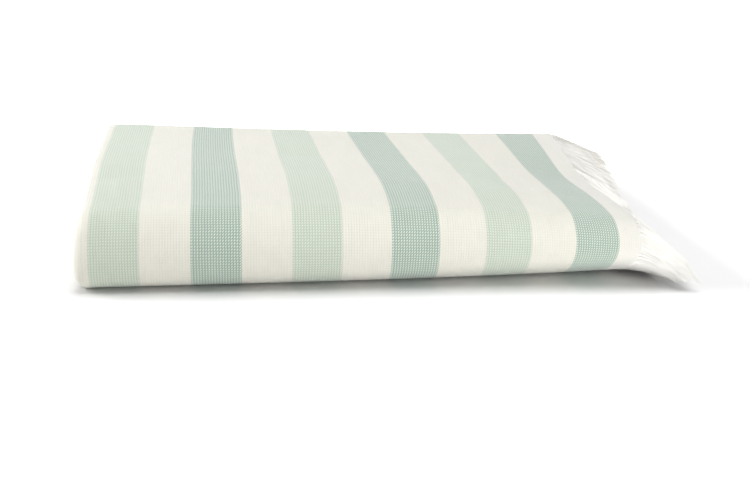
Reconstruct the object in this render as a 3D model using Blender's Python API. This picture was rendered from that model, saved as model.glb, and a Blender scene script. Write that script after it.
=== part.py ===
"""Hammam towel, folded in half twice each way, with an untwisted warp fringe at both ends.

The towel is cut flat and then folded, as the real one is. A point of the flat towel has a place u
along the cloth (0 at the outer end), v across it (0 at the first selvedge) and w through its
thickness. fold_in_four turns a strip into four layers. It is used twice: on u, which puts the two
fringed ends together at +X, and then on v, which brings the two selvedges together at the back.

Units are metres, +Z is up, +X runs along the fold's length and +Y away from its rounded front.
"""

import math
import random

import bmesh
import bpy

# Woven cloth
CLOTH_THICKNESS = 0.0026
LAYER_GAP = 0.0007
CLOTH_WIDTH = 1.000
COLOURED_BANDS = 24
COLOURED_BAND = 0.036
WHITE_BAND = 0.034
END_BAND = 0.018
CLOTH_LENGTH = (
    COLOURED_BANDS * COLOURED_BAND + (COLOURED_BANDS - 1) * WHITE_BAND + 2 * END_BAND
)

# How it is folded
BANDS_ON_TOP = 6
WHITE_BEFORE_FIRST_BAND = 0.0042
INNER_END_PAST_OUTER = 0.006
LAYER_PITCH = CLOTH_THICKNESS + LAYER_GAP
OUTER_RUN_LENGTHWISE = (
    WHITE_BEFORE_FIRST_BAND
    + BANDS_ON_TOP * COLOURED_BAND
    + (BANDS_ON_TOP - 1) * WHITE_BAND
    + END_BAND
)
FOLDED_DEPTH = 0.2565
BUNDLE_PITCH = 4 * LAYER_PITCH
BUNDLE_HALF = 1.5 * LAYER_PITCH + CLOTH_THICKNESS / 2
PACK_HALF_HEIGHT = 1.5 * BUNDLE_PITCH + BUNDLE_HALF
PACK_HEIGHT = 2 * PACK_HALF_HEIGHT
OUTER_RUN_WIDTHWISE = FOLDED_DEPTH - PACK_HALF_HEIGHT

# Fringe: warp ends left loose, worn into flat locks
FRINGE_LENGTH = 0.050
FRINGE_THICKNESS = 0.0015
FRINGE_HEADING = 0.004
FRINGE_SEAM_GAP = 0.0004
FRINGE_LENGTH_SPREAD = 0.08
FRINGE_SEED = 7

# How finely each straight run and turn is divided
CLOTH_STEPS_LENGTHWISE = {"run": 3, "outer turn": 6, "crease": 3, "inner turn": 3}
CLOTH_STEPS_WIDTHWISE = {"run": 9, "outer turn": 9, "crease": 6, "inner turn": 6}
FRINGE_STEPS_WIDTHWISE = {"run": 27, "outer turn": 9, "crease": 6, "inner turn": 6}
COLUMNS_PER_LOCK = 3

# Unevenness of the folded pack. A row is a place along X, a column a place along Y or Z, and each
# table is read as a Bezier patch.
#                front    front third  back third  back
TOP_DROP = {
    "left end":    (-0.0005, -0.0010, -0.0010, -0.0040),
    "left third":  (-0.0045, -0.0045, -0.0020, 0.0015),
    "right third": (-0.0025, -0.0030, -0.0010, 0.0025),
    "right end":   (0.0060, 0.0060, 0.0030, 0.0005),
}
SHIFT_RIGHT = {
    "left end":    (0.0000, -0.0045, -0.0065, 0.0000),
    "left third":  (-0.0110, 0.0010, 0.0005, -0.0005),
    "right third": (0.0045, 0.0120, 0.0090, 0.0065),
    "right end":   (-0.0060, -0.0075, 0.0005, 0.0195),
}
#                bottom   middle   top
NOSE_PUSH = {
    "left end":    (-0.0015, 0.0000, 0.0000),
    "left third":  (-0.0015, -0.0005, 0.0000),
    "right third": (0.0005, 0.0000, 0.0000),
    "right end":   (0.0050, 0.0005, -0.0005),
}
NOSE_PUSH_REACH = 0.120

# Past the edge of the cloth the fringe sinks by this share of its height, at its tips
FRINGE_SINK_FRONT = 0.60
FRINGE_SINK_BACK = 0.36
FRINGE_SINK_POWER = 1.5

COTTON = (0.78, 0.83, 0.79)
WHITE_COTTON = (0.90, 0.90, 0.88)


def clear_objects():
    for old in list(bpy.data.objects):
        bpy.data.objects.remove(old)


def fold_in_four(length, pitch, outer_run, inner_run):
    """Runs of a strip folded in half twice, as (kind, length, turning radius), + turning left.

    The outer turn wraps the inner one at one end, and the crease lies at the other.
    """
    turns = math.pi * pitch * (1.5 + 0.5 + 0.5)
    middle_run = (length - outer_run - inner_run - turns) / 2
    return [
        ("run", outer_run, 0.0),
        ("outer turn", math.pi * 1.5 * pitch, 1.5 * pitch),
        ("run", middle_run, 0.0),
        ("crease", math.pi * 0.5 * pitch, 0.5 * pitch),
        ("run", middle_run, 0.0),
        ("inner turn", math.pi * 0.5 * pitch, -0.5 * pitch),
        ("run", inner_run, 0.0),
    ]


def strip_to_fold(runs, pitch, s, offset):
    """Where a point s along the strip, and offset outward from it, lies once it is folded.

    Before the strip's start and past its end it goes straight on.
    """
    along, across, heading = runs[0][1], 1.5 * pitch, math.pi
    left = s
    for number, (_, length, radius) in enumerate(runs, start=1):
        step = left if number == len(runs) else min(left, length)
        along, across, heading = step_along(along, across, heading, step, radius)
        left -= step
    return along + offset * math.sin(heading), across - offset * math.cos(heading)


def step_along(along, across, heading, distance, radius):
    """Move a distance along a straight run (radius 0) or a turn of that radius."""
    if radius == 0.0:
        return (
            along + distance * math.cos(heading),
            across + distance * math.sin(heading),
            heading,
        )
    turned = heading + distance / radius
    return (
        along + radius * (math.sin(turned) - math.sin(heading)),
        across - radius * (math.cos(turned) - math.cos(heading)),
        turned,
    )


def stations(runs, steps):
    """Places along the strip where its mesh is divided."""
    places = [0.0]
    for kind, length, _ in runs:
        start = places[-1]
        count = steps[kind]
        places += [start + length * (i + 1) / count for i in range(count)]
    return places


LENGTHWISE = fold_in_four(
    CLOTH_LENGTH,
    LAYER_PITCH,
    OUTER_RUN_LENGTHWISE,
    OUTER_RUN_LENGTHWISE + INNER_END_PAST_OUTER,
)
WIDTHWISE = fold_in_four(
    CLOTH_WIDTH, BUNDLE_PITCH, OUTER_RUN_WIDTHWISE, OUTER_RUN_WIDTHWISE
)
CLOTH_EDGE = BUNDLE_HALF + OUTER_RUN_LENGTHWISE


def bezier(values, t):
    """A Bezier curve through its control values, of any degree."""
    degree = len(values) - 1
    return sum(
        math.comb(degree, i) * t**i * (1 - t) ** (degree - i) * value
        for i, value in enumerate(values)
    )


def patch(table, s, t):
    """A Bezier patch: s picks the place between the rows, t the place in each row."""
    return bezier([bezier(row, t) for row in table.values()], s)


def settle(x, y, z):
    """Lay the even fold down as unevenly as real cloth lies; its underside stays flat."""
    right = min(x / CLOTH_EDGE, 1.0)
    back = y / FOLDED_DEPTH
    drop = patch(TOP_DROP, right, back) / PACK_HEIGHT
    shift = patch(SHIFT_RIGHT, right, back)
    fade = max(1.0 - y / NOSE_PUSH_REACH, 0.0) ** 2
    push = fade * patch(NOSE_PUSH, right, z / PACK_HEIGHT)
    past_edge = max(x - CLOTH_EDGE, 0.0) / FRINGE_LENGTH
    sink_at_tip = FRINGE_SINK_FRONT + (FRINGE_SINK_BACK - FRINGE_SINK_FRONT) * back
    sink = sink_at_tip * past_edge**FRINGE_SINK_POWER
    return x + shift, y + push, z * (1.0 - drop) * (1.0 - sink)


def folded(u, v, w):
    """A point of the flat towel, at its place in the folded one."""
    x, out = strip_to_fold(LENGTHWISE, LAYER_PITCH, u, w)
    y, z = strip_to_fold(WIDTHWISE, BUNDLE_PITCH, v, out)
    return settle(x + BUNDLE_HALF, y + PACK_HALF_HEIGHT, z + PACK_HALF_HEIGHT)


def cotton(name, colour):
    material = bpy.data.materials.new(name)
    material.use_nodes = True
    shader = material.node_tree.nodes["Principled BSDF"]
    shader.inputs["Base Color"].default_value = (*colour, 1.0)
    shader.inputs["Roughness"].default_value = 0.9
    shader.inputs["Metallic"].default_value = 0.0
    return material


def folded_sheet(name, lines, flat_point, thickness, material, collection, keep=None):
    """A flat sheet, cut out, thickened and then folded.

    lines counts the mesh lines along u and along v, and flat_point(i, j) is the (u, v) where two
    of them cross. keep(column, row) says which cells are cloth; the rest are cut away.
    """
    columns, rows = lines[0] - 1, lines[1] - 1
    sheet = bmesh.new()
    bmesh.ops.create_grid(sheet, x_segments=columns, y_segments=rows, size=0.5)
    if keep:
        cells = [(face, face.calc_center_median()) for face in sheet.faces]
        cut = [
            face
            for face, middle in cells
            if not keep(int((middle.x + 0.5) * columns), int((middle.y + 0.5) * rows))
        ]
        bmesh.ops.delete(sheet, geom=cut, context="FACES")
    extruded = bmesh.ops.extrude_face_region(sheet, geom=sheet.faces[:])["geom"]
    raised = [part for part in extruded if isinstance(part, bmesh.types.BMVert)]
    bmesh.ops.translate(sheet, verts=raised, vec=(0, 0, 1))
    bmesh.ops.recalc_face_normals(sheet, faces=sheet.faces[:])
    for vert in sheet.verts:
        i, j = round((vert.co.x + 0.5) * columns), round((vert.co.y + 0.5) * rows)
        u, v = flat_point(i, j)
        vert.co = folded(u, v, thickness * (vert.co.z - 0.5))
    if sheet.calc_volume(signed=True) < 0:
        bmesh.ops.reverse_faces(sheet, faces=sheet.faces[:])
    mesh = bpy.data.meshes.new(name)
    sheet.to_mesh(mesh)
    sheet.free()
    mesh.materials.append(material)
    piece = bpy.data.objects.new(name, mesh)
    collection.objects.link(piece)
    return piece


def make_cloth(collection):
    """The woven panel, one piece with its selvedges and its plain white ends."""
    u_places = stations(LENGTHWISE, CLOTH_STEPS_LENGTHWISE)
    v_places = stations(WIDTHWISE, CLOTH_STEPS_WIDTHWISE)
    return folded_sheet(
        "towel_cloth",
        (len(u_places), len(v_places)),
        lambda i, j: (u_places[i], v_places[j]),
        CLOTH_THICKNESS,
        cotton("striped cotton", COTTON),
        collection,
    )


def make_fringe(name, edge, outward, seed, material, collection):
    """A comb of fringe locks off the cloth's edge at u = edge, pointing outward (-1 or +1)."""
    v_places = stations(WIDTHWISE, FRINGE_STEPS_WIDTHWISE)
    lock_middle = (FRINGE_HEADING + FRINGE_LENGTH) / 2
    reaches = [0.0, FRINGE_HEADING, lock_middle, FRINGE_LENGTH]
    draw = random.Random(seed)
    locks = len(v_places) // COLUMNS_PER_LOCK + 1
    stretch = [1 - FRINGE_LENGTH_SPREAD * draw.random() for _ in range(locks)]

    def flat_point(i, j):
        reach = reaches[i]
        if reach > FRINGE_HEADING:
            lock_reach = (reach - FRINGE_HEADING) * stretch[j // COLUMNS_PER_LOCK]
            reach = FRINGE_HEADING + lock_reach
        return edge + outward * (FRINGE_SEAM_GAP + reach), v_places[j]

    def keep(column, row):
        return column == 0 or row % COLUMNS_PER_LOCK != COLUMNS_PER_LOCK - 1

    return folded_sheet(
        name,
        (len(reaches), len(v_places)),
        flat_point,
        FRINGE_THICKNESS,
        material,
        collection,
        keep,
    )


def stand_on_origin(pieces):
    """Put the origin at the middle of the underside of the whole towel's box."""
    corners = [vert.co for piece in pieces for vert in piece.data.vertices]
    for piece in pieces:
        piece.location = [
            -(min(co[0] for co in corners) + max(co[0] for co in corners)) / 2,
            -(min(co[1] for co in corners) + max(co[1] for co in corners)) / 2,
            -min(co[2] for co in corners),
        ]


def main():
    clear_objects()
    collection = bpy.data.collections.new("hammam towel")
    bpy.context.scene.collection.children.link(collection)
    white = cotton("white cotton fringe", WHITE_COTTON)
    pieces = [
        make_cloth(collection),
        make_fringe("fringe_outer", 0.0, -1, FRINGE_SEED, white, collection),
        make_fringe("fringe_inner", CLOTH_LENGTH, 1, FRINGE_SEED + 1, white, collection),
    ]
    stand_on_origin(pieces)


main()
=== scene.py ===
"""Looks of the folded hammam towel: its striped honeycomb cloth and its two loose warp fringes.

The cloth and the fringe threads are laid out flat and folded in four along the cloth, and then
in four across it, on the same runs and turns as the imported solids. A point of the flat towel has
a place u along the cloth, v across it and w through its thickness. Units are metres.
"""

import math

import bpy
import numpy as np
from mathutils import Matrix, Vector


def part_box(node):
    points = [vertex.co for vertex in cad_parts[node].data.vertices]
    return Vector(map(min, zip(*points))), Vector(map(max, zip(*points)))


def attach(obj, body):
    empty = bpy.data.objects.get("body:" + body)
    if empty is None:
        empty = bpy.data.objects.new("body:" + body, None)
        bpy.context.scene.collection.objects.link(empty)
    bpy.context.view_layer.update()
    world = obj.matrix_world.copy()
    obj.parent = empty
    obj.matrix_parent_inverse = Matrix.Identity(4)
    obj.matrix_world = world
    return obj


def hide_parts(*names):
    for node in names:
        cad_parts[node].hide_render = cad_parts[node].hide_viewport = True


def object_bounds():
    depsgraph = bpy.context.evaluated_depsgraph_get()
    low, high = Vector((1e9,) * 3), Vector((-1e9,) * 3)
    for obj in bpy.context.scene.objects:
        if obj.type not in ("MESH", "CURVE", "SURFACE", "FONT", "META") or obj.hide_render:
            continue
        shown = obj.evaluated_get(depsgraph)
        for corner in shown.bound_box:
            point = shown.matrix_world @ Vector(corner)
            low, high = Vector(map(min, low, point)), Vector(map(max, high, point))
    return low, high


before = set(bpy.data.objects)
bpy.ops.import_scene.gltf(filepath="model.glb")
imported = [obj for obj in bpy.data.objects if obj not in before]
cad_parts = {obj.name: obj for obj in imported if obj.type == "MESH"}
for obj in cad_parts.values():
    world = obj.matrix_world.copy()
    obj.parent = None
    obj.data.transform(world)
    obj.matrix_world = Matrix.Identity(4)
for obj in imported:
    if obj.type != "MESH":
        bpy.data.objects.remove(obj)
CAD_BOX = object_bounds()

# Woven cloth, as cut
CLOTH_THICKNESS = 0.0026
LAYER_GAP = 0.0007
CLOTH_WIDTH = 1.000
COLOURED_BANDS = 24
COLOURED_BAND = 0.0348
WHITE_BAND = 0.0352
END_BAND = 0.0186
BAND_PITCH = COLOURED_BAND + WHITE_BAND
BAND_PAIR = 2 * BAND_PITCH
CLOTH_LENGTH = COLOURED_BANDS * BAND_PITCH - WHITE_BAND + 2 * END_BAND

# Layers of a strip folded in four, and the radii of its outer turn and two inner turns in pitches
LAYERS = 4
OUTER_TURN = (LAYERS - 1) / 2
INNER_TURN = 0.5

# How it is folded
BANDS_ON_TOP = 6
WHITE_BEFORE_FIRST_BAND = 0.0048
INNER_END_PAST_OUTER = 0.006
LAYER_PITCH = CLOTH_THICKNESS + LAYER_GAP
OUTER_RUN_LENGTHWISE = (
    WHITE_BEFORE_FIRST_BAND + BANDS_ON_TOP * BAND_PITCH - WHITE_BAND + END_BAND
)
FOLDED_DEPTH = 0.2565
BUNDLE_PITCH = LAYERS * LAYER_PITCH
BUNDLE_HALF = OUTER_TURN * LAYER_PITCH + CLOTH_THICKNESS / 2
PACK_HALF_HEIGHT = OUTER_TURN * BUNDLE_PITCH + BUNDLE_HALF
PACK_HEIGHT = 2 * PACK_HALF_HEIGHT
OUTER_RUN_WIDTHWISE = FOLDED_DEPTH - PACK_HALF_HEIGHT
CLOTH_EDGE = BUNDLE_HALF + OUTER_RUN_LENGTHWISE

# Longest mesh cell on each run and turn, in the order of the folds. The first ones show most.
CLOTH_CELLS_LENGTHWISE = (0.0034, 0.002, 0.012, 0.0009, 0.012, 0.0009, 0.012)
CLOTH_CELLS_WIDTHWISE = (0.0031, 0.0026, 0.009, 0.0026, 0.009, 0.0026, 0.009)
# The cloth's edges are rounded over these distances, down to this share of its thickness
EDGE_ROUNDING = (0.0, 0.0002, 0.0006, 0.0013)
EDGE_THINNEST = 0.12

# Unevenness of the folded pack. A row is a place along X, a column a place along Y or Z, and each
# table is read as a Bezier patch.
#                front    front third  back third  back
TOP_DROP = {
    "left end":    (-0.0029, -0.0011, -0.0010, -0.0054),
    "left third":  (-0.0057, -0.0035, 0.0007, -0.0017),
    "right third": (-0.0040, -0.0042, -0.0012, 0.0018),
    "right end":   (0.0046, 0.0066, 0.0035, 0.0001),
}
SHIFT_RIGHT = {
    "left end":    (0.0012, -0.0039, -0.0056, 0.0019),
    "left third":  (-0.0114, -0.0002, 0.0006, -0.0007),
    "right third": (0.0042, 0.0166, 0.0051, 0.0026),
    "right end":   (-0.0124, -0.0060, -0.0009, 0.0155),
}
#                bottom   middle   top
NOSE_PUSH = {
    "left end":    (-0.0170, 0.0060, 0.0000),
    "left third":  (-0.0137, -0.0114, -0.0039),
    "right third": (-0.0126, -0.0067, 0.0058),
    "right end":   (0.0090, -0.0241, -0.0228),
}
NOSE_PUSH_REACH = 0.120

# Finer unevenness, each row of values from the left end to the right
MIDDLE_LEANS_RIGHT = (0.0019, -0.0059, 0.0059, 0.0020)
FRONT_TURN_LEANS_RIGHT = (-0.0025, 0.0022, -0.0009, -0.0012)
FRONT_TURN_LEAN_REACH = 0.060
BEHIND_NOSE_DROP = (0.0017, -0.0004, 0.0031, -0.0001)
BEHIND_NOSE_Y = 0.020
BEHIND_NOSE_REACH = 0.030
LEFT_SHOULDER_DROP = 0.0060
LEFT_SHOULDER_REACH = 0.0045

# The crease that lying packed has pressed across the top, from left to right
PRESSED_CREASE_Y = (0.122, 0.100, 0.075, 0.035)
PRESSED_CREASE_RISE = (0.0030, 0.0030, 0.0010, 0.0020)
PRESSED_CREASE_BACK = 0.055
PRESSED_CREASE_FRONT = 0.050
PRESSED_CREASE_ROUNDING = 0.12

# Soft hollows (+) and swells (-) of the top
#                                  half   half   turned by
#                    x      y      length width  degrees  depth
TOP_HOLLOWS = {
    "right sag":     (0.407, 0.138, 0.040, 0.040, 0, 0.0060),
    "left hollow":   (0.026, 0.092, 0.022, 0.009, 20, 0.0012),
    "left swell":    (0.060, 0.150, 0.035, 0.020, -15, -0.0008),
    "middle swell":  (0.215, 0.060, 0.050, 0.018, -10, -0.0007),
    "middle trough": (0.165, 0.165, 0.060, 0.012, -12, 0.0007),
    "right trough":  (0.330, 0.090, 0.045, 0.010, -35, 0.0008),
}

# Weave: honeycomb cells, a whole number of them in each pair of bands
RIBS_IN_BAND_PAIR = 72
ROWS_IN_BAND_PAIR = 79
THREADS_IN_CELL = 3
# How much each direction of the honeycomb shows, and the relief where its raised dots start and end
# and the painted shade of its hollows gives way to them
RIB_SHARE = 0.40
SLANT_SHARE = 0.42
ROW_SHARE = 0.18
RAISED_DOTS = (-0.30, 0.70)
CELL_RELIEF = 0.00012
# Relief of single threads, and the shares of it that each way of the weave and the slubs have
THREAD_RELIEF = 0.00004
THREAD_RELIEF_SHARE = 0.5
SLUB_RELIEF_SHARE = 1.5
BAND_EDGE_SOFTNESS = 0.0003
BAND_EDGE_TEETH = 0.0003

# Irregularity of the weave: its sizes along and across the cloth, in pairs of bands
CELLS_WANDER_SIZES = (0.06, 0.06)
SLUB_SIZES = (0.006, 0.12)
CLOUD_SIZES = (0.12, 0.10)
NOISE_DETAIL = 2.0
# How far the cells wander, in cells
CELLS_WANDER = 0.35
# How much of the cloth's lightness goes with each: the slubs and clouds are the yarn's own tone,
# the threads' waves are painted shade in the grooves between threads
SLUB_LIGHT = 0.10
CLOUD_LIGHT = 0.06
THREAD_GROOVE_SHADE = 0.012
EVEN_LIGHT = 0.92

# Colours of the thread in the hollows and on the raised dots of the weave
#          hollows                raised
COLOURS = {
    "dark":  ((0.307, 0.415, 0.344), (0.740, 0.785, 0.700)),
    "light": ((0.513, 0.584, 0.482), (0.744, 0.792, 0.689)),
    "white": ((0.768, 0.753, 0.666), (0.813, 0.802, 0.720)),
    "end":   ((0.774, 0.758, 0.692), (0.819, 0.807, 0.749)),
}
FRINGE_COLOUR = (0.970, 0.960, 0.930)
FRINGE_SHADE_COLOUR = (0.935, 0.918, 0.87)
# Streaks of shade along and across the fringe, in each metre, and the noise they come from
FRINGE_STREAKS = (40.0, 900.0, 1.0)
FRINGE_STREAK_NOISE = (0.35, 0.65)

# Shader values of all the cotton, and then those of the cloth, the fringe and the floor alone
COTTON_FINISH = {"Specular IOR Level": 0.15, "Sheen Roughness": 0.5}
CLOTH_FINISH = {"Roughness": 0.85, "Sheen Weight": 0.7}
FRINGE_FINISH = {"Roughness": 0.9, "Sheen Weight": 0.1}
FLOOR_FINISH = {"Roughness": 0.9, "Specular IOR Level": 0.0}

# Past the cloth's end the fringe sinks by these shares of its height, from the front to the back
FRINGE_SINK = (0.76, 0.28, 0.93, 0.69, 0.38, 0.35)
FRINGE_SINK_POWER = 1.15
# Sinking tips are drawn in, as the threads keep their length
FRINGE_DRAWN_IN = 0.50
# Share of its length that the crumpled fringe reaches, from the front to the back
FRINGE_REACH = (0.79, 0.59, 0.46, 0.71, 0.89, 0.77)
# How far the tips fan out along Y, from the front to the back
FRINGE_FAN = (-0.006, -0.030, -0.029, -0.022, -0.016, -0.007)
# How much shorter they reach, from the lowest layer to the top one
FRINGE_SHORTER = (0.014, 0.014, -0.010, -0.010)

# Fringe threads, gathered into worn tufts
FRINGE_LENGTH = 0.056
INNER_FRINGE_LENGTH = 0.046
THREADS = 2850
THREAD_POINTS = 9
THREAD_SIDES = 4
THREAD_HALF_WIDTH = 0.00070
THREAD_HALF_THICKNESS = 0.00020
THREAD_TIP_SHARE = 0.45
THREAD_TAPER_POWER = 3
# Length of each thread that lies in the cloth
THREAD_ROOT = 0.0035
# How much longer or shorter than the fringe tufts and their threads are, as shares of its length
TUFT_LENGTHS = (-0.13, 0.078)
THREAD_LENGTHS = (-0.06, 0.06)
TUFT_WIDTHS = (0.004, 0.012)
# Where across a tuft its threads gather, and the share of the way there that they come; less
# than 0 is away from there
TUFT_MIDDLES = (0.35, 0.65)
TUFT_GATHERS = (-0.04, 0.08)
GATHERED_FLATTER = 0.5
# Usual size of each tuft's own lean across the cloth, and of its lift, at its tip
TUFT_LEAN = 0.0012
TUFT_LIFT = 0.00024
GATHER_POWER = 1.3
LEAN_POWER = 2
LIFT_POWER = 1.5
TUFT_WAVE = 0.0005
THREAD_WAVE = 0.0006
# Share of the threads that stray, and how much further they wave
STRAY_THREADS = 0.04
STRAY_WAVE = 0.0030
WAVE_LENGTHS = (0.018, 0.040)
WAVE_HEIGHTS = (0.3, 1.0)
FRINGE_SEED = 11
# The fringe's map for baking is this long, with this margin at each side
FRINGE_MAP_LENGTH = 1.3 * FRINGE_LENGTH
FRINGE_MAP_MARGIN = 0.005

# Camera, in the photograph's frame
IMAGE_WIDTH_PX = 750
CAMERA_FOCAL_PX = 959
CAMERA_PITCH = math.radians(20.45)
CAMERA_YAW = math.radians(11.63)
CAMERA_ROLL = math.radians(3.26)
CAMERA_FROM_FOLD = (0.0772, -0.6262, 0.2667)
CAMERA_NEAREST = 0.01
SENSOR_WIDTH_MM = 36.0

# Light
ROOM_LIGHT = 0.22
# The room's light at its horizon fades between these heights, as shares of straight up
HORIZON_LIGHT = 1.0
HORIZON_FADES = (0.05, 0.14)
FLOOR_HALF = 8.0
FLOOR_WHITENESS = 0.90
# The floor glows fully at this distance from the towel
FLOOR_GLOW = 1.85
FLOOR_GLOW_AWAY = 0.125
# At the left it has this share of its glow, which grows to the whole between these places
FLOOR_GLOW_AT_LEFT = 0.38
FLOOR_GLOW_GROWS = (-0.45, 0.25)
#                    x      y      z     size  watts
SOFT_BOXES = {
    "overhead box":    (0.0, 0.0, 1.5, 1.2, 18.8),
    "left box":        (-1.0, 0.2, 0.36, 0.5, 6.2),
    "right box":       (1.2, 0.1, 0.4, 0.6, 2.2),
    "front right box": (0.55, -0.6, 0.25, 0.3, 0.85),
}


# ---------------------------------------------------------------- folding


def fold_in_four(length, pitch, outer_run, inner_run):
    """Runs of a strip folded in half twice, as (length, turning radius), + turning left."""
    outer_radius, inner_radius = OUTER_TURN * pitch, INNER_TURN * pitch
    turns = math.pi * (outer_radius + (LAYERS - 2) * inner_radius)
    middle_run = (length - outer_run - inner_run - turns) / 2
    return [
        (outer_run, 0.0),
        (math.pi * outer_radius, outer_radius),
        (middle_run, 0.0),
        (math.pi * inner_radius, inner_radius),
        (middle_run, 0.0),
        (math.pi * inner_radius, -inner_radius),
        (inner_run, 0.0),
    ]


def strip_to_fold(runs, pitch, s, offset):
    """Where points s along the strip, and offset outward from it, lie once it is folded.

    The last value is the angle that the strip has turned there.
    """
    along = np.full(np.shape(s), runs[0][0])
    across = np.full(np.shape(s), OUTER_TURN * pitch)
    heading = np.full(np.shape(s), math.pi)
    left = np.array(s, float)
    for number, (length, radius) in enumerate(runs, start=1):
        step = left if number == len(runs) else np.minimum(left, length)
        if radius:
            turned = heading + step / radius
            along = along + radius * (np.sin(turned) - np.sin(heading))
            across = across - radius * (np.cos(turned) - np.cos(heading))
            heading = turned
        else:
            along = along + step * np.cos(heading)
            across = across + step * np.sin(heading)
        left = left - step
    return (
        along + offset * np.sin(heading),
        across - offset * np.cos(heading),
        heading - math.pi,
    )


LENGTHWISE = fold_in_four(
    CLOTH_LENGTH,
    LAYER_PITCH,
    OUTER_RUN_LENGTHWISE,
    OUTER_RUN_LENGTHWISE + INNER_END_PAST_OUTER,
)
WIDTHWISE = fold_in_four(
    CLOTH_WIDTH, BUNDLE_PITCH, OUTER_RUN_WIDTHWISE, OUTER_RUN_WIDTHWISE
)


def bezier(values, t):
    """A Bezier curve through its control values, of any degree."""
    degree = len(values) - 1
    return sum(
        math.comb(degree, i) * t**i * (1 - t) ** (degree - i) * value
        for i, value in enumerate(values)
    )


def patch(table, s, t):
    """A Bezier patch: s picks the place between the rows, t the place in each row."""
    return bezier([bezier(row, t) for row in table.values()], s)


def pressed_crease(right, y):
    """Rise of the top towards the crease pressed across it."""
    line = bezier(PRESSED_CREASE_Y, right)
    away = np.where(
        y > line, (y - line) / PRESSED_CREASE_BACK, (line - y) / PRESSED_CREASE_FRONT
    )
    rounded = np.sqrt(away**2 + PRESSED_CREASE_ROUNDING**2) - PRESSED_CREASE_ROUNDING
    return bezier(PRESSED_CREASE_RISE, right) * np.exp(-rounded)


def top_hollows(x, y):
    """Depth of the soft hollows of the top, less its swells."""
    depth = 0.0
    for middle_x, middle_y, half_length, half_width, turned, deepest in TOP_HOLLOWS.values():
        cos, sin = math.cos(math.radians(turned)), math.sin(math.radians(turned))
        along = ((x - middle_x) * cos + (y - middle_y) * sin) / half_length
        across = ((y - middle_y) * cos - (x - middle_x) * sin) / half_width
        depth = depth + deepest * np.exp(-(along**2 + across**2) / 2)
    return depth


def crumple(x, y, z):
    """How far the fringe is shifted right and pushed back there, and the share that it sinks."""
    past_edge = np.maximum(x - CLOTH_EDGE, 0.0) / FRINGE_LENGTH
    depth = np.clip(y / FOLDED_DEPTH, 0.0, 1.0)
    height = np.clip(z / PACK_HEIGHT, 0.0, 1.0)
    sink_at_tip = bezier(FRINGE_SINK, depth)

    shift = -FRINGE_LENGTH * past_edge * (1.0 - bezier(FRINGE_REACH, depth))
    shift -= FRINGE_DRAWN_IN * (z * sink_at_tip * past_edge) ** 2 / FRINGE_LENGTH
    shift -= bezier(FRINGE_SHORTER, height) * past_edge**2
    push = bezier(FRINGE_FAN, depth) * past_edge**2
    return shift, push, sink_at_tip * past_edge**FRINGE_SINK_POWER


def settle(x, y, z):
    """Lay the even fold down as unevenly as real cloth lies; its underside stays flat."""
    right = np.clip(x / CLOTH_EDGE, 0.0, 1.0)
    back = y / FOLDED_DEPTH
    middle = 4 * np.clip(back, 0.0, 1.0) * (1 - np.clip(back, 0.0, 1.0))

    drop = patch(TOP_DROP, right, back) - pressed_crease(right, y) + top_hollows(x, y)
    drop += LEFT_SHOULDER_DROP * np.exp(-np.maximum(x, 0.0) / LEFT_SHOULDER_REACH)
    behind_nose = np.exp(-(((y - BEHIND_NOSE_Y) / BEHIND_NOSE_REACH) ** 2))
    drop += bezier(BEHIND_NOSE_DROP, right) * behind_nose

    shift = patch(SHIFT_RIGHT, right, back) + bezier(MIDDLE_LEANS_RIGHT, right) * middle
    front_turn = np.clip(1.0 - y / FRONT_TURN_LEAN_REACH, 0.0, 1.0) ** 2
    shift += bezier(FRONT_TURN_LEANS_RIGHT, right) * front_turn

    fade = np.maximum(1.0 - y / NOSE_PUSH_REACH, 0.0) ** 2
    push = fade * patch(NOSE_PUSH, right, z / PACK_HEIGHT)

    fringe_shift, fringe_push, sink = crumple(x, y, z)
    return (
        x + shift + fringe_shift,
        y + push + fringe_push,
        z * (1.0 - drop / PACK_HEIGHT) * (1.0 - sink),
    )


def folded(u, v, w):
    """Points of the flat towel, at their places in the folded one, as an array of x, y, z."""
    x, out, _ = strip_to_fold(LENGTHWISE, LAYER_PITCH, u, w)
    y, z, _ = strip_to_fold(WIDTHWISE, BUNDLE_PITCH, v, out)
    return np.stack(
        settle(x + BUNDLE_HALF, y + PACK_HALF_HEIGHT, z + PACK_HALF_HEIGHT), axis=-1
    )


def woven_place(u, v):
    """Place across the cloth in its own threads, which don't stretch where the folds turn."""
    _, out, _ = strip_to_fold(LENGTHWISE, LAYER_PITCH, u, 0.0)
    _, _, turned = strip_to_fold(WIDTHWISE, BUNDLE_PITCH, v, out)
    return v + out * turned


# ---------------------------------------------------------------- cloth


def mesh_lines(runs, cells):
    """Places along a strip where its mesh is divided, with the rounding of its two ends."""
    places = [0.0]
    for (length, _), cell in zip(runs, cells):
        count = math.ceil(length / cell)
        places += [places[-1] + length * (i + 1) / count for i in range(count)]
    end = places[-1]
    inner = [place for place in places if EDGE_ROUNDING[-1] < place < end - EDGE_ROUNDING[-1]]
    return np.array([*EDGE_ROUNDING, *inner, *[end - cut for cut in reversed(EDGE_ROUNDING)]])


def edge_thickness(places):
    """Share of the cloth's thickness at each line, less where it rounds off at its two ends."""
    from_end = np.minimum(places, places[-1] - places)
    inside = np.clip(from_end / EDGE_ROUNDING[-1], 0.0, 1.0)
    return np.maximum(np.sqrt(1.0 - (1.0 - inside) ** 2), EDGE_THINNEST)


def grid_faces(rows, columns):
    """Corner numbers of the cells between rows x columns points."""
    first = (np.arange(rows - 1)[:, None] * columns + np.arange(columns - 1)).ravel()
    return np.stack([first, first + columns, first + columns + 1, first + 1], axis=-1)


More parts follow.
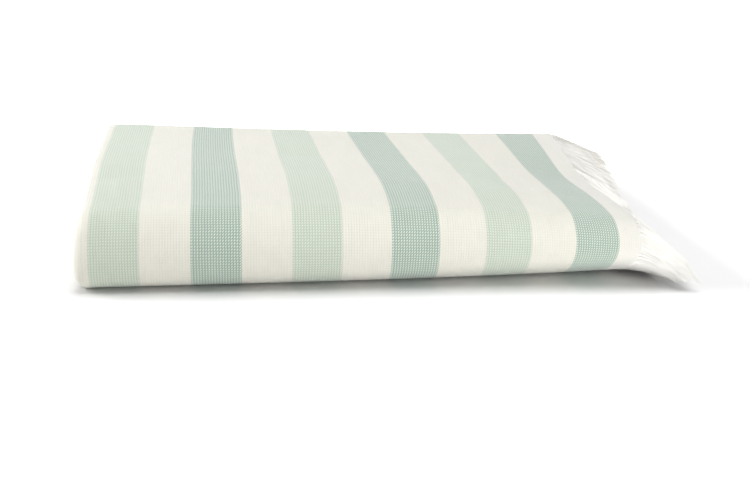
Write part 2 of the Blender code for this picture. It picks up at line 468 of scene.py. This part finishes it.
def mesh_object(name, points, faces, maps):
    """A smooth object with those points and faces, and UV maps given as a value at each point."""
    mesh = bpy.data.meshes.new(name)
    mesh.from_pydata(points.tolist(), [], faces)
    corners = np.empty(len(mesh.loops), np.int32)
    mesh.loops.foreach_get("vertex_index", corners)
    for map_name, places in maps.items():
        layer = mesh.uv_layers.new(name=map_name)
        layer.data.foreach_set("uv", places[corners].astype(np.float32).ravel())
    mesh.shade_smooth()
    piece = bpy.data.objects.new(name, mesh)
    bpy.context.scene.collection.objects.link(piece)
    return piece


def make_cloth():
    """The woven panel as one closed sheet: an outer face, an inner face and a rim."""
    u_lines = mesh_lines(LENGTHWISE, CLOTH_CELLS_LENGTHWISE)
    v_lines = mesh_lines(WIDTHWISE, CLOTH_CELLS_WIDTHWISE)
    u, v = np.meshgrid(u_lines, v_lines, indexing="ij")
    share = np.minimum(edge_thickness(u_lines)[:, None], edge_thickness(v_lines)[None, :])
    half = CLOTH_THICKNESS / 2 * share
    outer = folded(u, v, half).reshape(-1, 3)
    inner = folded(u, v, -half).reshape(-1, 3)

    cells = grid_faces(*u.shape)
    count = u.size
    number = np.arange(count).reshape(u.shape)
    loop = np.concatenate([number[:, 0], number[-1, 1:], number[-2::-1, -1], number[0, -2:0:-1]])
    following = np.roll(loop, -1)
    rim = np.stack([loop, following, following + count, loop + count], axis=-1)
    faces = np.concatenate([cells, cells[:, ::-1] + count, rim[:, ::-1]])

    woven_v = woven_place(u, v)
    metres = np.tile(np.stack([u.ravel(), woven_v.ravel()], axis=-1), (2, 1))
    return mesh_object(
        "hammam_towel_cloth",
        np.concatenate([outer, inner]),
        faces.tolist(),
        {"cloth_metres": metres, "OFBake": metres / BAND_PAIR},
    )


# ---------------------------------------------------------------- fringe


def thread_routes(rng, fringe_length):
    """Places s past the cloth's end, v and w of each thread's points, threads x points."""
    widths = rng.uniform(*TUFT_WIDTHS, round(2 * CLOTH_WIDTH / sum(TUFT_WIDTHS)))
    widths *= CLOTH_WIDTH / widths.sum()
    ends = np.cumsum(widths)
    tufts = len(ends)
    root = (np.arange(THREADS) + rng.uniform(0, 1, THREADS)) / THREADS * CLOTH_WIDTH
    tuft = np.minimum(np.searchsorted(ends, root), tufts - 1)
    middle = ends - widths * rng.uniform(*TUFT_MIDDLES, tufts)

    length = fringe_length * (
        1 + rng.uniform(*TUFT_LENGTHS, tufts)[tuft] + rng.uniform(*THREAD_LENGTHS, THREADS)
    )
    along = np.linspace(0, 1, THREAD_POINTS)
    s = -THREAD_ROOT + (THREAD_ROOT + length[:, None]) * along
    past = np.maximum(s, 0.0) / FRINGE_LENGTH

    def waves(size, groups, group):
        """Sideways waves, the same in all threads of a group."""
        wave_length = rng.uniform(*WAVE_LENGTHS, groups)[group, None]
        start = rng.uniform(0, 1, groups)[group, None]
        height = size * rng.uniform(*WAVE_HEIGHTS, groups)[group, None]
        return height * np.sin(2 * math.pi * (s / wave_length + start)) * past

    each = np.arange(THREADS)
    stray = STRAY_WAVE * (rng.uniform(0, 1, THREADS) < STRAY_THREADS)
    own_wave = (THREAD_WAVE + stray)[:, None]
    gather = rng.uniform(*TUFT_GATHERS, tufts)[tuft, None] * past**GATHER_POWER
    lean = rng.normal(0, TUFT_LEAN, tufts)[tuft, None] * past**LEAN_POWER
    v = root[:, None] + (middle[tuft] - root)[:, None] * gather
    v = v + lean + waves(TUFT_WAVE, tufts, tuft) + own_wave * waves(1.0, THREADS, each)
    half = CLOTH_THICKNESS / 2 - THREAD_HALF_THICKNESS
    w = half * rng.uniform(-1, 1, THREADS)[:, None] * (1 - GATHERED_FLATTER * gather)
    w = w + rng.normal(0, TUFT_LIFT, tufts)[tuft, None] * past**LIFT_POWER
    w = w + waves(TUFT_WAVE / 2, tufts, tuft) + own_wave * waves(1.0, THREADS, each)
    return s, v, w


def unit(vectors):
    """The vectors, each made 1 long."""
    return vectors / np.linalg.norm(vectors, axis=-1, keepdims=True)


def flat_threads(paths, outward, size):
    """Closed flattened tubes along paths: points, faces and the normals they are shaded with."""
    threads, points, _ = paths.shape
    ahead = unit(np.gradient(paths, axis=1))
    side = unit(np.cross(ahead, outward))
    lift = np.cross(side, ahead)
    turn = (np.arange(THREAD_SIDES) + 0.5) * 2 * math.pi / THREAD_SIDES
    across = np.cos(turn)[:, None] * side[:, :, None, :]
    up = np.sin(turn)[:, None] * lift[:, :, None, :]
    ring = THREAD_HALF_WIDTH * across + THREAD_HALF_THICKNESS * up
    skin = paths[:, :, None, :] + size[None, :, None, None] * ring
    normals = unit(across + up)

    number = np.arange(threads * points * THREAD_SIDES).reshape(threads, points, THREAD_SIDES)
    beside = np.roll(number, -1, axis=2)
    walls = np.stack(
        [number[:, :-1], number[:, 1:], beside[:, 1:], beside[:, :-1]], axis=-1
    ).reshape(-1, 4)
    caps = np.concatenate([number[:, 0], number[:, -1, ::-1]])
    return skin.reshape(-1, 3), walls.tolist() + caps.tolist(), normals.reshape(-1, 3)


def make_fringe(name, at_start, fringe_length, seed):
    """The loose warp threads past one end of the cloth, as one mesh."""
    s, v, w = thread_routes(np.random.default_rng(seed), fringe_length)
    u = -s if at_start else CLOTH_LENGTH + s
    paths = folded(u, v, w)
    outward = folded(u, v, w + THREAD_HALF_THICKNESS) - paths
    paths[..., 2] = np.maximum(paths[..., 2], THREAD_HALF_WIDTH)
    taper = np.linspace(0, 1, THREAD_POINTS) ** THREAD_TAPER_POWER
    size = 1.0 - (1.0 - THREAD_TIP_SHARE) * taper
    points, faces, normals = flat_threads(paths, outward, size)

    s_corner = np.repeat(s, THREAD_SIDES, axis=1).ravel()
    v_corner = np.repeat(np.broadcast_to(v[:, :1], s.shape), THREAD_SIDES, axis=1).ravel()
    beside = np.tile(np.arange(THREAD_SIDES) - (THREAD_SIDES - 1) / 2, s.size)
    place_across = (v_corner + THREAD_HALF_WIDTH * beside) / CLOTH_WIDTH
    whole = np.stack(
        [
            (s_corner + THREAD_ROOT) / FRINGE_MAP_LENGTH,
            FRINGE_MAP_MARGIN + (1 - 2 * FRINGE_MAP_MARGIN) * place_across,
        ],
        axis=-1,
    )
    metres = np.stack([s_corner, v_corner], axis=-1)
    fringe = mesh_object(name, points, faces, {"cloth_metres": metres, "OFBake": whole})
    fringe.data.normals_split_custom_set_from_vertices(normals.tolist())
    return fringe


# ---------------------------------------------------------------- materials


# Sockets of a Mix node that mixes colours, which share their names with others
MIX_SHARE = 0
MIX_FIRST = 6
MIX_SECOND = 7
MIX_RESULT = 2


class Graph:
    """A short way to add shader nodes to one material."""

    def __init__(self, name):
        self.material = bpy.data.materials.new(name)
        self.material.use_nodes = True
        self.tree = self.material.node_tree
        self.shader = self.tree.nodes["Principled BSDF"]

    def add(self, kind, inputs, output=0, **settings):
        """Add a node with those settings and inputs, values or sockets, and give an output."""
        node = self.tree.nodes.new(kind)
        for setting, value in settings.items():
            setattr(node, setting, value)
        for place, value in inputs.items():
            self.put(node.inputs[place], value)
        return node.outputs[output]

    def put(self, socket, value):
        """Give a socket a value of its own, or a link to another socket."""
        if isinstance(value, bpy.types.NodeSocket):
            self.tree.links.new(value, socket)
        else:
            socket.default_value = value

    def finish(self, *finishes):
        """Set the shader's own values."""
        for finish in finishes:
            for place, value in finish.items():
                self.shader.inputs[place].default_value = value

    def math(self, operation, *values):
        """A sum or other operation on numbers."""
        return self.add("ShaderNodeMath", dict(enumerate(values)), operation=operation)

    def vector_math(self, operation, *values, output="Vector"):
        """The same on vectors."""
        return self.add(
            "ShaderNodeVectorMath", dict(enumerate(values)), output, operation=operation
        )

    def wave(self, turns):
        """A cosine wave, 1 at each whole turn."""
        return self.math("COSINE", self.math("MULTIPLY", turns, 2 * math.pi))

    def total(self, *terms):
        """The sum of (value, share) pairs."""
        whole = 0.0
        for value, share in terms:
            whole = self.math("MULTIPLY_ADD", value, share, whole)
        return whole

    def ramp(self, value, start, end):
        """Soft step: 0 where the value is at start, 1 where it is at end."""
        rising = end > start
        return self.add(
            "ShaderNodeMapRange",
            {
                "Value": value,
                "From Min": min(start, end),
                "From Max": max(start, end),
                "To Min": 0.0 if rising else 1.0,
                "To Max": 1.0 if rising else 0.0,
            },
            interpolation_type="SMOOTHSTEP",
        )

    def mix(self, share, first, second):
        """Colour between the first, at share 0, and the second, at share 1."""
        ends = [(*end, 1.0) if isinstance(end, tuple) else end for end in (first, second)]
        return self.add(
            "ShaderNodeMix",
            {MIX_SHARE: share, MIX_FIRST: ends[0], MIX_SECOND: ends[1]},
            MIX_RESULT,
            data_type="RGBA",
        )

    def shade(self, colour, amount):
        """The colour times an amount of light."""
        grey = self.add(
            "ShaderNodeCombineColor", {"Red": amount, "Green": amount, "Blue": amount}
        )
        return self.add(
            "ShaderNodeMix",
            {MIX_SHARE: 1.0, MIX_FIRST: colour, MIX_SECOND: grey},
            MIX_RESULT,
            data_type="RGBA",
            blend_type="MULTIPLY",
        )

    def tiled_noise(self, u_turns, v_turns, u_size, v_size):
        """Noise from 0 to 1 that repeats each turn, with blotches of those sizes in turns."""
        u_radius = 1 / (2 * math.pi * u_size)
        v_radius = 1 / (2 * math.pi * v_size)
        quarter_u = self.math("ADD", u_turns, 0.25)
        quarter_v = self.math("ADD", v_turns, 0.25)
        place = self.add(
            "ShaderNodeCombineXYZ",
            {
                "X": self.math("MULTIPLY", self.wave(u_turns), u_radius),
                "Y": self.math("MULTIPLY", self.wave(quarter_u), u_radius),
                "Z": self.math("MULTIPLY", self.wave(v_turns), v_radius),
            },
        )
        fourth = self.math("MULTIPLY", self.wave(quarter_v), v_radius)
        return self.add(
            "ShaderNodeTexNoise",
            {"Vector": place, "W": fourth, "Scale": 1.0, "Detail": NOISE_DETAIL},
            noise_dimensions="4D",
        )


def striped_cotton():
    """Honeycomb cotton with weft bands; white warp threads show as dots on the bands, and painted
    shade darkens the honeycomb's hollows and the grooves between its threads.
    """
    graph = Graph("striped cotton")
    metres = graph.add("ShaderNodeUVMap", {}, uv_map="cloth_metres")
    split = graph.add("ShaderNodeSeparateXYZ", {"Vector": metres}).node
    u = split.outputs["X"]
    v = split.outputs["Y"]
    u_turns = graph.math("DIVIDE", u, BAND_PAIR)
    v_turns = graph.math("DIVIDE", v, BAND_PAIR)

    noise = graph.tiled_noise(u_turns, v_turns, *CELLS_WANDER_SIZES)
    wander = graph.math("MULTIPLY", graph.math("SUBTRACT", noise, 0.5), CELLS_WANDER)
    u_cells = graph.math("MULTIPLY_ADD", u_turns, RIBS_IN_BAND_PAIR, wander)
    v_cells = graph.math("MULTIPLY_ADD", v_turns, ROWS_IN_BAND_PAIR, wander)
    rib = graph.wave(u_cells)
    row = graph.wave(v_cells)
    slant = graph.wave(graph.math("SUBTRACT", u_cells, v_cells))
    relief = graph.total((rib, RIB_SHARE), (slant, SLANT_SHARE), (row, ROW_SHARE))
    raised_vs_shaded_hollow = graph.ramp(relief, *RAISED_DOTS)

    teeth = graph.math("MULTIPLY", row, BAND_EDGE_TEETH)
    from_dark = graph.math(
        "PINGPONG",
        graph.math("SUBTRACT", graph.math("ADD", u, teeth), END_BAND + COLOURED_BAND / 2),
        BAND_PITCH,
    )
    edge = COLOURED_BAND / 2
    dark = graph.ramp(from_dark, edge + BAND_EDGE_SOFTNESS, edge - BAND_EDGE_SOFTNESS)
    far_edge = BAND_PITCH - edge
    light = graph.ramp(from_dark, far_edge - BAND_EDGE_SOFTNESS, far_edge + BAND_EDGE_SOFTNESS)

    from_end = graph.math("MINIMUM", u, graph.math("SUBTRACT", CLOTH_LENGTH, u))
    end = graph.ramp(from_end, END_BAND + BAND_EDGE_SOFTNESS, END_BAND - BAND_EDGE_SOFTNESS)

    def banded(level):
        """Colour of the bands in the hollows, with their painted shade, level 0, or on the raised
        dots, level 1.
        """
        white = graph.mix(end, COLOURS["white"][level], COLOURS["end"][level])
        coloured = graph.mix(light, white, COLOURS["light"][level])
        return graph.mix(dark, coloured, COLOURS["dark"][level])

    # Raised dots in their own colour, hollows in theirs darkened with painted shade
    colour = graph.mix(raised_vs_shaded_hollow, banded(0), banded(1))
    slub = graph.tiled_noise(u_turns, v_turns, *SLUB_SIZES)
    cloud = graph.tiled_noise(u_turns, v_turns, *CLOUD_SIZES)
    warp_thread = graph.wave(graph.math("MULTIPLY", v_cells, THREADS_IN_CELL))
    weft_thread = graph.wave(graph.math("MULTIPLY", u_cells, THREADS_IN_CELL))
    # Lightness of the colour: the yarn's own tone from slubs and clouds, and painted shade in the
    # grooves between the threads
    light_amount = graph.total(
        (slub, SLUB_LIGHT),
        (cloud, CLOUD_LIGHT),
        (warp_thread, THREAD_GROOVE_SHADE),
        (weft_thread, THREAD_GROOVE_SHADE),
        (1.0, EVEN_LIGHT),
    )
    graph.put(graph.shader.inputs["Base Color"], graph.shade(colour, light_amount))

    threads = graph.total(
        (warp_thread, THREAD_RELIEF_SHARE),
        (weft_thread, THREAD_RELIEF_SHARE),
        (slub, SLUB_RELIEF_SHARE),
    )
    fine = graph.add(
        "ShaderNodeBump", {"Height": threads, "Strength": 1.0, "Distance": THREAD_RELIEF}
    )
    honeycomb = graph.add(
        "ShaderNodeBump",
        {"Height": relief, "Strength": 1.0, "Distance": CELL_RELIEF, "Normal": fine},
    )
    graph.put(graph.shader.inputs["Normal"], honeycomb)
    graph.finish(COTTON_FINISH, CLOTH_FINISH)
    return graph.material


def fringe_cotton():
    """Loose white warp threads, some a little darker than others."""
    graph = Graph("white fringe")
    metres = graph.add("ShaderNodeUVMap", {}, uv_map="cloth_metres")
    streaks = graph.add("ShaderNodeMapping", {"Vector": metres, "Scale": FRINGE_STREAKS})
    noise = graph.add(
        "ShaderNodeTexNoise", {"Vector": streaks, "Scale": 1.0, "Detail": NOISE_DETAIL}
    )
    white = graph.ramp(noise, *FRINGE_STREAK_NOISE)
    colour = graph.mix(white, FRINGE_SHADE_COLOUR, FRINGE_COLOUR)
    graph.put(graph.shader.inputs["Base Color"], colour)
    graph.finish(COTTON_FINISH, FRINGE_FINISH)
    return graph.material


def pale_floor():
    """A floor lit from below, as a light table is, except under and close to the towel."""
    graph = Graph("pale floor")
    graph.shader.inputs["Base Color"].default_value = (*[FLOOR_WHITENESS] * 3, 1.0)
    graph.finish(FLOOR_FINISH)
    place = graph.add("ShaderNodeNewGeometry", {}, "Position")
    spread = graph.vector_math("ABSOLUTE", place)
    past = graph.vector_math("SUBTRACT", spread, (*CAD_BOX[1][:2], 0.0))
    outside = graph.vector_math("MAXIMUM", past, (0.0, 0.0, 0.0))
    away = graph.vector_math("LENGTH", outside, output="Value")
    place_x = graph.add("ShaderNodeSeparateXYZ", {"Vector": place}, "X")
    rightward = graph.ramp(place_x, *FLOOR_GLOW_GROWS)
    strength = graph.total((rightward, 1.0 - FLOOR_GLOW_AT_LEFT), (1.0, FLOOR_GLOW_AT_LEFT))
    glow = graph.math("MULTIPLY", graph.ramp(away, 0.0, FLOOR_GLOW_AWAY), strength)
    glow = graph.math("MULTIPLY", glow, FLOOR_GLOW)
    graph.shader.inputs["Emission Color"].default_value = (1.0, 1.0, 1.0, 1.0)
    graph.put(graph.shader.inputs["Emission Strength"], glow)
    return graph.material


# ---------------------------------------------------------------- stage


def put_in_place(pieces, cloth):
    """Move the pieces from the fold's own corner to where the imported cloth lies.

    The cloth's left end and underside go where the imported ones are. Along Y, its middle does.
    """
    places = np.array([vert.co for vert in cloth.data.vertices])
    low, high = places.min(axis=0), places.max(axis=0)
    packed_low, packed_high = np.array(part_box("towel_cloth"))
    move = Vector(packed_low - low)
    move.y = ((packed_low + packed_high - low - high) / 2)[1]
    for piece in pieces:
        piece.data.transform(Matrix.Translation(move))
    return move


def make_camera(move):
    """The photograph's viewpoint, given from the fold's own corner."""
    forward = Vector((
        math.sin(CAMERA_YAW) * math.cos(CAMERA_PITCH),
        math.cos(CAMERA_YAW) * math.cos(CAMERA_PITCH),
        -math.sin(CAMERA_PITCH),
    ))
    level = Vector((math.cos(CAMERA_YAW), -math.sin(CAMERA_YAW), 0.0))
    lift = level.cross(forward)
    right = math.cos(CAMERA_ROLL) * level + math.sin(CAMERA_ROLL) * lift
    up = -math.sin(CAMERA_ROLL) * level + math.cos(CAMERA_ROLL) * lift
    data = bpy.data.cameras.new("camera")
    data.sensor_width = SENSOR_WIDTH_MM
    data.lens = CAMERA_FOCAL_PX / IMAGE_WIDTH_PX * SENSOR_WIDTH_MM
    data.clip_start = CAMERA_NEAREST
    camera = bpy.data.objects.new("camera", data)
    camera.matrix_world = Matrix.Translation(Vector(CAMERA_FROM_FOLD) + move) @ Matrix(
        (right, up, -forward)
    ).transposed().to_4x4()
    bpy.context.scene.collection.objects.link(camera)
    bpy.context.scene.camera = camera


def make_floor():
    """A wide flat floor at the height that the towel lies at."""
    sides = ((-1, -1), (1, -1), (1, 1), (-1, 1))
    corners = [(FLOOR_HALF * x, FLOOR_HALF * y, 0.0) for x, y in sides]
    mesh = bpy.data.meshes.new("floor")
    mesh.from_pydata(corners, [], [(0, 1, 2, 3)])
    mesh.materials.append(pale_floor())
    floor = bpy.data.objects.new("floor", mesh)
    bpy.context.scene.collection.objects.link(floor)


def make_lights():
    """A pale room, white at its horizon, and soft boxes that face the towel."""
    world = bpy.data.worlds.new("studio")
    world.use_nodes = True
    tree = world.node_tree
    background = tree.nodes["Background"]
    background.inputs["Color"].default_value = (1.0, 1.0, 1.0, 1.0)
    direction = tree.nodes.new("ShaderNodeTexCoord")
    split = tree.nodes.new("ShaderNodeSeparateXYZ")
    fade = tree.nodes.new("ShaderNodeMapRange")
    fade.inputs["From Min"].default_value = HORIZON_FADES[0]
    fade.inputs["From Max"].default_value = HORIZON_FADES[1]
    fade.inputs["To Min"].default_value = HORIZON_LIGHT
    fade.inputs["To Max"].default_value = ROOM_LIGHT
    tree.links.new(direction.outputs["Generated"], split.inputs["Vector"])
    tree.links.new(split.outputs["Z"], fade.inputs["Value"])
    tree.links.new(fade.outputs["Result"], background.inputs["Strength"])
    bpy.context.scene.world = world
    for name, (x, y, z, size, watts) in SOFT_BOXES.items():
        data = bpy.data.lights.new(name, "AREA")
        data.shape = "SQUARE"
        data.size = size
        data.energy = watts
        light = bpy.data.objects.new(name, data)
        light.location = (x, y, z)
        light.rotation_euler = (-light.location).to_track_quat("-Z", "Y").to_euler()
        bpy.context.scene.collection.objects.link(light)
    bpy.context.scene.view_settings.view_transform = "Standard"


# ---------------------------------------------------------------- build

cloth = make_cloth()
fringe_outer = make_fringe("hammam_towel_fringe_outer", True, FRINGE_LENGTH, FRINGE_SEED)
fringe_inner = make_fringe(
    "hammam_towel_fringe_inner", False, INNER_FRINGE_LENGTH, FRINGE_SEED + 1
)
move = put_in_place([cloth, fringe_outer, fringe_inner], cloth)

cloth.data.materials.append(striped_cotton())
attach(cloth, "root")
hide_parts("towel_cloth")
thread_material = fringe_cotton()
for fringe, node in ((fringe_outer, "fringe_outer"), (fringe_inner, "fringe_inner")):
    fringe.data.materials.append(thread_material)
    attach(fringe, "root")
    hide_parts(node)

make_camera(move)
make_floor()
make_lights()
